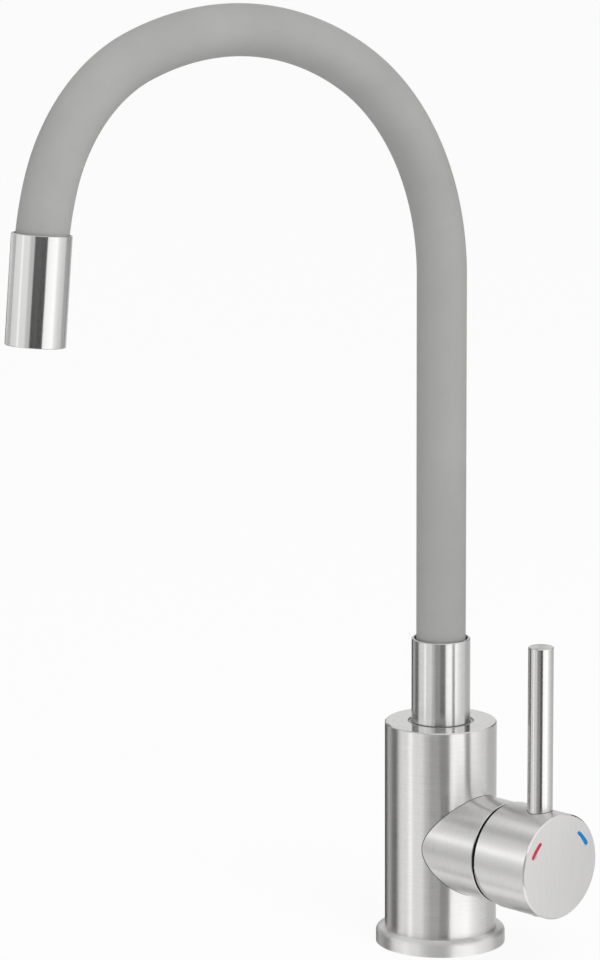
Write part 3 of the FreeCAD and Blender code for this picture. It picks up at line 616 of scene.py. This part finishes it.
LINE_DARKENING = 0.10
LINE_LIGHTENING = 0.06
WEAR_CLOUDS = 55.0
FACE_LINES_ACROSS = 900.0
FACE_LINES_ALONG = 34.0
FACE_TONE = 0.88
FACE_CROWN = -1.5
CAP_FACE_MARGIN = 0.05 * MM
COLUMN_FACE_MARGIN = 0.1 * MM
FINE_FACE_GAIN = 0.23
ROUGHNESS_SWING = 0.035
FULL_CUT = 0.05
LINE_DEPTH = 0.08 * MM
GRAIN_DEPTH = 0.05 * MM

# Grained finishes: moulded, cast or plated
ZINC = {"colour": (0.62, 0.62, 0.60), "roughness": 0.34, "metallic": 1.0, "grain": 900.0}
ENAMEL = {"roughness": 0.45, "contrast": 0.05, "bump": 0.04, "shine": 0.1}
GRAINED = {
    "zinc_plate": ZINC,
    "stud_zinc": ZINC,
    "screw_zinc": {"colour": (0.34, 0.34, 0.335), "roughness": 0.34, "metallic": 1.0, "grain": 900.0},
    "turned_brass": {"colour": (0.72, 0.55, 0.28), "roughness": 0.3, "metallic": 1.0, "grain": 900.0},
    "plug_steel": {"colour": (0.20, 0.20, 0.195), "roughness": 0.4, "metallic": 1.0, "grain": 1200.0},
    "aerator_chrome": {"colour": (0.74, 0.74, 0.74), "roughness": 0.16, "metallic": 1.0, "grain": 1200.0},
    "core_metal": {"colour": (0.55, 0.55, 0.56), "roughness": 0.35, "metallic": 1.0, "grain": 700.0},
    # painted shade: the cover dome is near black to stand in for the shadow inside the gap between boss and
    # cap
    "gap_shade_dome": {"colour": (0.008, 0.008, 0.009), "roughness": 0.7, "grain": 1400.0, "shine": 0.08},
    "seal_rubber": {"colour": (0.03, 0.03, 0.03), "roughness": 0.7, "grain": 1800.0},
    "cartridge_plastic": {"colour": (0.20, 0.22, 0.24), "roughness": 0.45},
    "ceramic": {"colour": (0.88, 0.87, 0.84), "roughness": 0.14, "grain": 2400.0, "contrast": 0.02,
                "bump": 0.03},
    "slip_ring_plastic": {"colour": (0.56, 0.56, 0.55), "roughness": 0.4},
    "aerator_plastic": {"colour": (0.78, 0.79, 0.80), "roughness": 0.4},
    # near black of the painted contact shade lines along the joints
    "seam_shadow": {"colour": (0.05, 0.05, 0.05), "roughness": 0.6},
    "hot_enamel": {"colour": (0.57, 0.035, 0.065), **ENAMEL},
    "cold_enamel": {"colour": (0.004, 0.215, 0.552), **ENAMEL},
}
GRAINED_NODES = {
    "zinc_plate": ("clamp_plate", "stem_pin", "lever_stem", "grub_screw"),
    "turned_brass": ("cartridge_nut", "hose_anchor", "outlet_adaptor", "stud_nut_left", "stud_nut_right"),
    "plug_steel": ("screw_plug",),
    "aerator_chrome": ("aerator_housing",),
    # painted shade on the dome seen through the gap behind the cap
    "gap_shade_dome": ("cover_dome",),
    "seal_rubber": ("base_gasket", "port_seal", "o_ring_lower", "o_ring_upper", "aerator_washer",
                    "clamp_gasket"),
    "cartridge_plastic": ("cartridge_base", "cartridge_housing", "disc_driver", "rotor"),
    "ceramic": ("fixed_disc", "moving_disc"),
    "slip_ring_plastic": ("slip_ring_upper", "slip_ring_lower"),
    "aerator_plastic": ("aerator_insert",),
}
SPECKS_PER_CLOUD = 24
SPECK_WEAR = 0.14
SILICONE = (0.362, 0.361, 0.350)
SILICONE_ROUGHNESS = (0.60, 0.72)
SILICONE_IOR = 1.41
SILICONE_SHINE = 0.35
SILICONE_CLOUDS = 38.0
SILICONE_CLOUDING = 0.035
SILICONE_GRAIN = 2600.0
SILICONE_RELIEF = 0.12


def turned_steel(name, centre, axis, side, straight_face=None, fine_face=None):
    """Steel brushed round an axis: fine lines along the turning, and a sheen stretched across them.

    straight_face is the place along the axis past which an end face is brushed straight up and down,
    fine_face the place past which one is turned finer.
    """
    colour, roughness, depth, cut = STEELS[name]
    material, tree = shader_tree(name)
    shader = principled(tree, colour, 1.0, roughness)
    shader.inputs["Anisotropic"].default_value = SHEEN_STRETCH
    shader.inputs["Anisotropic Rotation"].default_value = QUARTER_TURN
    level = None
    place = object_place(tree)
    offset = vector_math(tree, "SUBTRACT", place, centre)
    length = vector_math(tree, "DOT_PRODUCT", offset, axis)
    across = vector_math(tree, "DOT_PRODUCT", offset, side)
    upward = vector_math(tree, "DOT_PRODUCT", offset, axis.cross(side))
    flat = combine(tree, across, upward, 0.0)
    radius = vector_math(tree, "LENGTH", flat)
    lines = scalar_math(tree, "ADD", length, scaled_by(tree, radius, LINES_SLANT))
    around = add_node(tree, "ShaderNodeSeparateXYZ")
    tree.links.new(vector_math(tree, "NORMALIZE", flat), around.inputs[0])
    drawn = combine(
        tree,
        scaled_by(tree, around.outputs[0], STROKES_ROUND),
        scaled_by(tree, around.outputs[1], STROKES_ROUND),
        scaled_by(tree, lines, LINES_PER_METRE),
    )
    grain = vector_math(tree, "CROSS_PRODUCT", axis, offset)
    if straight_face is not None:
        on_face = scalar_math(tree, "GREATER_THAN", length, straight_face)
        face_lines = combine(
            tree,
            scaled_by(tree, across, FACE_LINES_ACROSS),
            scaled_by(tree, upward, FACE_LINES_ALONG),
            0.0,
        )
        drawn = blended(tree, on_face, drawn, face_lines)
        grain = blended(tree, on_face, grain, axis.cross(side))
        level = crowned(tree, radius)
    turn = add_node(tree, "ShaderNodeVectorTransform", vector_type="VECTOR")
    turn.convert_from = "OBJECT"
    turn.convert_to = "WORLD"
    tree.links.new(grain, turn.inputs[0])
    tree.links.new(turn.outputs[0], shader.inputs["Tangent"])

    coarse = noise(tree, drawn, COARSE_LINES, detail=3.0)
    fine = noise(tree, drawn, FINE_LINES, detail=2.0)
    strokes = scalar_math(tree, "ADD", scaled_by(tree, coarse, 0.5), scaled_by(tree, fine, 0.5))
    cloud = noise(tree, place, WEAR_CLOUDS, detail=2.0)
    tone = tinted(tree, strokes, colour, 1 - LINE_DARKENING * depth, 1 + LINE_LIGHTENING * depth)
    if straight_face is not None:
        tone = blended(tree, on_face, tone, vector_math(tree, "MULTIPLY", tone, (FACE_TONE,) * 3))
    tree.links.new(tone, shader.inputs["Base Color"])
    swing = ROUGHNESS_SWING * min(1.0, cut / FULL_CUT)
    worn = scalar_math(tree, "ADD", ranged(tree, strokes, roughness - swing, roughness + swing),
                       ranged(tree, cloud, -swing / 3, swing / 3))
    if fine_face is not None:
        on_end = scalar_math(tree, "GREATER_THAN", length, fine_face)
        worn = scalar_math(tree, "SUBTRACT", worn, scaled_by(tree, on_end, FINE_FACE_GAIN))
    tree.links.new(worn, shader.inputs["Roughness"])
    bumped(tree, shader, strokes, cut, LINE_DEPTH, level)
    return material


def crowned(tree, radius):
    """Normal of an end face that is very slightly domed."""
    made = add_node(tree, "ShaderNodeBump")
    made.inputs["Strength"].default_value = 1.0
    made.inputs["Distance"].default_value = 1.0
    dome = scaled_by(tree, scalar_math(tree, "MULTIPLY", radius, radius), FACE_CROWN)
    tree.links.new(dome, made.inputs["Height"])
    return made.outputs["Normal"]


def handle_steel(name, straight_face=None):
    """Steel turned round the handle's axis."""
    return turned_steel(name, Z_AXIS * HANDLE_HEIGHT, X_AXIS, -Y_AXIS, straight_face)


def silicone():
    """Matte moulded silicone: a very fine skin and faint clouding."""
    material, tree = shader_tree("sleeve_silicone")
    shader = principled(tree, SILICONE, 0.0, sum(SILICONE_ROUGHNESS) / 2)
    shader.inputs["IOR"].default_value = SILICONE_IOR
    shader.inputs["Specular IOR Level"].default_value = SILICONE_SHINE
    place = object_place(tree)
    cloud = noise(tree, place, SILICONE_CLOUDS, detail=3.0)
    skin = noise(tree, place, SILICONE_GRAIN, detail=2.0)
    tone = tinted(tree, cloud, SILICONE, 1 - SILICONE_CLOUDING, 1 + SILICONE_CLOUDING)
    tree.links.new(tone, shader.inputs["Base Color"])
    tree.links.new(ranged(tree, skin, *SILICONE_ROUGHNESS), shader.inputs["Roughness"])
    bumped(tree, shader, skin, SILICONE_RELIEF, GRAIN_DEPTH)
    return material


def grained(name):
    """Plain moulded, cast or plated finish from the list above."""
    return speckled(name, **GRAINED[name])


def speckled(name, colour, roughness, metallic=0.0, grain=1500.0, contrast=0.06, bump=0.1, shine=0.5):
    """Finish with a fine grain: specks per metre, their contrast and relief, and its shine."""
    material, tree = shader_tree(name)
    shader = principled(tree, colour, metallic, roughness)
    shader.inputs["Specular IOR Level"].default_value = shine
    place = object_place(tree)
    cloud = noise(tree, place, grain / SPECKS_PER_CLOUD, detail=3.0)
    skin = noise(tree, place, grain, detail=3.0)
    tree.links.new(tinted(tree, cloud, colour, 1 - contrast, 1 + contrast), shader.inputs["Base Color"])
    worn = ranged(tree, skin, roughness * (1 - SPECK_WEAR), roughness * (1 + SPECK_WEAR))
    tree.links.new(worn, shader.inputs["Roughness"])
    bumped(tree, shader, skin, bump, GRAIN_DEPTH)
    return material


def finish_node(material, *names):
    for name in names:
        for slot in NODES[name].material_slots:
            slot.material = material


def finish_model():
    """Steels on the parts in view, plain finishes on the rest."""
    origin = Vector()
    column = turned_steel("column_steel", origin, Z_AXIS, TOWARD, fine_face=COLUMN_TOP - COLUMN_FACE_MARGIN)
    finish_node(column, "tap_body")
    finish_node(turned_steel("lightened_foot_steel", origin, Z_AXIS, TOWARD), "base_ring")
    finish_node(handle_steel("boss_steel"), "handle_boss")
    finish_node(handle_steel("cap_steel", CAP_FACE - CAP_FACE_MARGIN), "handle_cap")
    finish_node(turned_steel("darkened_rod_steel", X_AXIS * ROD_PLACE, Z_AXIS, TOWARD), "lever_rod")
    finish_node(turned_steel("ferrule_steel", origin, Z_AXIS, TOWARD), "lower_ferrule")
    mouth, heading = hose_place(hose_end())
    finish_node(turned_steel("outlet_steel", mouth, heading_vector(heading), X_AXIS), "outlet_ferrule")
    for finish, names in GRAINED_NODES.items():
        finish_node(grained(finish), *names)


# Small pieces


def enamel_mark(name, ends_of_stroke, enamel, node):
    """Hot or cold stroke on the cap's face, from its top end to its foot.

    A strip with round ends, bowed away from the face's centre and a little proud of it.
    """
    start_clean()
    centre = Z_AXIS * HANDLE_HEIGHT
    top, foot = (centre + Vector((0, across, up)) for across, up in ends_of_stroke)
    run = foot - top
    midpoint = (top + foot) / 2
    turn = math.atan2(run.z, run.y)
    sideways = Vector((0, -math.sin(turn), math.cos(turn)))
    bow = MARK_BOW if sideways.dot(midpoint - centre) > 0 else -MARK_BOW
    half = run.length / 2
    bpy.ops.mesh.primitive_grid_add(
        x_subdivisions=MARK_COLUMNS, y_subdivisions=1, size=1, location=(0, 0, 0))
    mark = named(name)
    for vertex in mark.data.vertices:
        place = half * math.sin(math.pi * vertex.co.x)
        past = max(0.0, abs(place) - half + MARK_WIDTH / 2)
        reach = math.sqrt(max(0.0, (MARK_WIDTH / 2) ** 2 - past ** 2))
        side = 1 if vertex.co.y > 0 else -1
        vertex.co = (0, place, bow * (1 - (place / half) ** 2) + side * reach)
    select_mesh()
    merge_doubles()
    bpy.ops.mesh.extrude_region_move(TRANSFORM_OT_translate={"value": (MARK_DEPTH, 0, 0)})
    close_mesh()
    seat = Matrix.Translation((CAP_FACE - MARK_DEPTH + MARK_PROUD, midpoint.y, midpoint.z))
    mark.data.transform(seat @ Matrix.Rotation(turn, 4, "X"))
    soften(mark, MARK_EDGE)
    smooth_below(30)
    dress(mark, grained(enamel), "lever")
    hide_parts(node)


def seam_shade_line(name, radius, turn, onto, shadow, body):
    """Painted contact shade along a joint: a thin dark ring laid onto a surface by a function of its
    points.
    """
    start_clean()
    bpy.ops.mesh.primitive_circle_add(
        vertices=SEAM_POINTS, radius=radius, fill_type="NOTHING", location=(0, 0, 0), rotation=turn)
    seam = named(name)
    settle()
    for vertex in seam.data.vertices:
        vertex.co = onto(vertex.co.copy())
    bpy.ops.object.convert(target="CURVE")
    seam.data.bevel_depth = SEAM_RADIUS
    seam.data.bevel_resolution = 2
    bpy.ops.object.convert(target="MESH")
    smooth_below(60)
    dress(seam, shadow, body)


def seam_shade_lines():
    """Painted shade lines where the boss meets the column, the rod enters the cap and the ferrule enters
    the column.
    """
    def on_column(point):
        return Vector((math.sqrt(COLUMN_RADIUS ** 2 - point.y ** 2), point.y, point.z + HANDLE_HEIGHT))

    def on_cap(point):
        rise = math.sqrt(CAP_RADIUS ** 2 - point.y ** 2)
        return Vector((point.x + ROD_PLACE, point.y, HANDLE_HEIGHT + rise))

    def on_rim(point):
        return Vector((point.x, point.y, COLUMN_TOP + SEAM_RISE))

    # dark rings painted in as contact shade at the joints
    shadow = grained("seam_shadow")
    seam_shade_line("boss_seam_shade", BOSS_RADIUS, (0, math.pi / 2, 0), on_column, shadow, "tap")
    seam_shade_line("rod_seam_shade", ROD_RADIUS, (0, 0, 0), on_cap, shadow, "lever")
    seam_shade_line("ferrule_seam_shade", FERRULE_RADIUS + SEAM_RISE, (0, 0, 0), on_rim, shadow, "spout")


def relief_lip():
    """Bevelled lip of the cap's wall along its oblique relief, from side to side round the bottom. Its
    steel is darker than the cap's, as painted shade on the facet.
    """
    start_clean()
    bpy.ops.mesh.primitive_grid_add(
        x_subdivisions=LIP_COLUMNS, y_subdivisions=LIP_ROWS, size=1, location=(0, 0, 0))
    lip = named("relief_lip")
    slope = math.tan(math.radians(RELIEF_ANGLE))
    for vertex in lip.data.vertices:
        angle = math.radians(between((LIP_START, 180 - LIP_START), vertex.co.x + 0.5))
        share = vertex.co.y + 0.5
        fall = math.sin(angle)
        radius = CAP_RADIUS - LIP_BEVEL * fall * (1 - share)
        reach = CAP_RADIUS * fall * slope * share
        vertex.co = (CAP_REAR + reach, -radius * math.cos(angle), HANDLE_HEIGHT - radius * fall)
    select_mesh()
    bpy.ops.mesh.extrude_region_move()
    bpy.ops.object.mode_set(mode="OBJECT")
    for vertex in lip.data.vertices:
        if not vertex.select:
            continue
        flat = Vector((0, vertex.co.y, vertex.co.z - HANDLE_HEIGHT))
        inner = flat.normalized() * LIP_BORE
        vertex.co = (vertex.co.x, inner.y, inner.z + HANDLE_HEIGHT)
    bpy.ops.object.mode_set(mode="EDIT")
    close_mesh()
    smooth_below(40)
    dress(lip, handle_steel("shaded_lip_steel"), "lever")


def lock_screw():
    """Socket set screw at the back of the column: cone nose, chamfered end, hexagon socket."""
    start_clean()
    length = LOCK_HEAD - LOCK_SHOULDER
    bpy.ops.mesh.primitive_cylinder_add(
        vertices=LOCK_SIDES, radius=LOCK_RADIUS, depth=length, location=(0, 0, length / 2))
    screw = named("lock_set_screw")
    settle()
    bpy.ops.object.mode_set(mode="EDIT")
    bpy.ops.mesh.select_all(action="DESELECT")
    bpy.ops.object.mode_set(mode="OBJECT")
    for polygon in screw.data.polygons:
        polygon.select = polygon.normal.z < LOCK_NOSE_NORMAL
    bpy.ops.object.mode_set(mode="EDIT")
    bpy.ops.mesh.inset(thickness=LOCK_RADIUS - LOCK_NOSE_RADIUS)
    bpy.ops.mesh.extrude_region_move(
        TRANSFORM_OT_translate={"value": (0, 0, LOCK_NOSE - LOCK_SHOULDER)})
    bpy.ops.object.mode_set(mode="OBJECT")
    start_clean()
    bpy.ops.mesh.primitive_cylinder_add(
        vertices=6, radius=LOCK_KEY / math.sqrt(3), depth=LOCK_SOCKET * 2, location=(0, 0, length))
    cut_by(screw, bpy.context.object)
    start_clean()
    screw.select_set(True)
    soften(screw, LOCK_EDGE)
    smooth_below(30)
    seat = Matrix.Translation((0, LOCK_SHOULDER, LOCK_HEIGHT))
    screw.data.transform(seat @ Matrix.Rotation(-math.pi / 2, 4, "X"))
    dress(screw, grained("screw_zinc"), "tap")
    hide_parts("spout_lock_screw")


def rolled_stud(name):
    """Left clamp stud with its thread: a sheet rolled round the bar, its crests rising as it turns."""
    start_clean()
    rows = round((STUD_TOP - STUD_FOOT) / STUD_STEP)
    bpy.ops.mesh.primitive_grid_add(
        x_subdivisions=STUD_SIDES, y_subdivisions=rows, size=1, location=(0, 0, 0))
    stud = named(name)
    for vertex in stud.data.vertices:
        round_share = vertex.co.x + 0.5
        height = between((STUD_FOOT, STUD_TOP), vertex.co.y + 0.5)
        phase = (height / STUD_PITCH - round_share) % 1.0
        crest = 1 - abs(2 * phase - 1)
        from_end = min(height - STUD_FOOT, STUD_TOP - height)
        radius = min(between((STUD_ROOT, STUD_CREST), crest), STUD_ROOT - STUD_CHAMFER + from_end)
        angle = 2 * math.pi * round_share
        vertex.co = (STUD_FORWARD + radius * math.cos(angle), radius * math.sin(angle) - STUD_SIDE, height)
    select_mesh()
    merge_doubles()
    bpy.ops.mesh.fill_holes(sides=STUD_SIDES * 2)
    close_mesh()
    smooth_below(25)
    return stud


def threaded_studs():
    """The two clamp studs, the right one a copy of the left."""
    left = rolled_stud("threaded_stud_left")
    right = left.copy()
    right.name = "threaded_stud_right"
    right.data = left.data.copy()
    right.data.transform(Matrix.Translation(Y_AXIS * 2 * STUD_SIDE))
    bpy.context.scene.collection.objects.link(right)
    zinc = grained("stud_zinc")
    for stud, node in ((left, "stud_left"), (right, "stud_right")):
        dress(stud, zinc, "tap")
        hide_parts(node)


# Hose


def heading_vector(heading):
    return Vector((0, -math.sin(heading), math.cos(heading)))


def arc_centre(point, heading, radius):
    return point + Vector((0, -math.cos(heading), -math.sin(heading))) * radius


def along(point, heading, length, radius):
    """Point and heading after a length of one run."""
    if radius is None:
        return point + heading_vector(heading) * length, heading
    turned = heading + length / radius
    centre = arc_centre(point, heading, radius)
    return centre + Vector((0, math.cos(turned), math.sin(turned))) * radius, turned


def hose_runs():
    """Start point, heading, station, length and radius of each run of the centreline."""
    point = Z_AXIS * HOSE_FOOT
    heading = 0.0
    station = 0.0
    runs = []
    arcs = [(radius * math.radians(turn), radius) for radius, turn in ARCS]
    for length, radius in ((RISE, None), *arcs, (TAIL, None)):
        runs.append((point, heading, station, length, radius))
        point, heading = along(point, heading, length, radius)
        station += length
    return runs


def hose_place(station):
    """Point and heading of the centreline at a station."""
    for point, heading, start, length, radius in hose_runs():
        if station <= start + length + STATION_SLACK:
            return along(point, heading, station - start, radius)
    raise ValueError("station past the hose's end")


def hose_end():
    _, _, start, length, _ = hose_runs()[-1]
    return start + length


def bend_ends(bend, softness):
    """Points where a bend starts and ends, with what it takes from the hose on either side."""
    start, _ = hose_place(bend[0] - softness)
    end, _ = hose_place(bend[1] + softness)
    return start, end


def hose_tube(name, start, end, radius, wall, sides):
    """Tube along the hose's centreline: a ring drawn up the riser and spun round each arc."""
    start_clean()
    point, heading = hose_place(start)
    bpy.ops.mesh.primitive_circle_add(
        vertices=sides, radius=radius, fill_type="NOTHING", location=point, rotation=(heading, 0, 0))
    tube = named(name)
    settle()
    select_mesh()
    for run_point, run_heading, run_start, length, run_radius in hose_runs():
        covered = min(end, run_start + length) - max(start, run_start)
        if covered < MERGE_DISTANCE:
            continue
        steps = max(1, round(covered / HOSE_STEP))
        if run_radius is None:
            for _ in range(steps):
                bpy.ops.mesh.extrude_region_move(
                    TRANSFORM_OT_translate={"value": heading_vector(run_heading) * covered / steps})
        else:
            bpy.ops.mesh.spin(
                steps=steps, angle=-covered / run_radius, axis=X_AXIS,
                center=arc_centre(run_point, run_heading, run_radius))
    bpy.ops.mesh.select_all(action="SELECT")
    merge_doubles()
    close_mesh()
    shell = tube.modifiers.new("wall", "SOLIDIFY")
    shell.thickness = wall
    shell.offset = -1
    bpy.ops.object.modifier_apply(modifier="wall")
    smooth_below(40)
    return tube


def hose():
    """Silicone sleeve over its core, each in two lengths that meet in the crown."""
    low_start, low_end = bend_ends(LOW_BEND, LOW_SOFTNESS)
    high_start, high_end = bend_ends(HIGH_BEND, HIGH_SOFTNESS)
    layers = (
        ("sleeve", "sleeve", silicone(), "sleeve_silicone", SLEEVE_RADIUS, SLEEVE_WALL, SLEEVE_SIDES),
        ("core", "gooseneck", grained("core_metal"), "gooseneck_core", CORE_RADIUS, CORE_WALL, CORE_SIDES),
    )
    for layer, node, material, slot, radius, wall, sides in layers:
        lower = hose_tube(f"{layer}_lower_length", 0.0, CROWN_SPLIT, radius, wall, sides)
        upper = hose_tube(f"{layer}_upper_length", CROWN_SPLIT, hose_end(), radius, wall, sides)
        for tube in (lower, upper):
            tube.data.materials.append(material)
        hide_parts(f"{node}_riser", f"{node}_low_bend", f"{node}_crown")
        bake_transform(lower)
        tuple(low_start)
        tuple(low_end)
        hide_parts(f"{node}_high_bend", f"{node}_drop")
        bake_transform(upper)
        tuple(high_start)
        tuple(high_end)


bpy.context.scene.view_settings.view_transform = "Standard"
photo_camera()
studio()
finish_model()
hose()
enamel_mark("hot_stroke", HOT_STROKE, "hot_enamel", "hot_mark")
enamel_mark("cold_stroke", COLD_STROKE, "cold_enamel", "cold_mark")
seam_shade_lines()
relief_lip()
lock_screw()
threaded_studs()
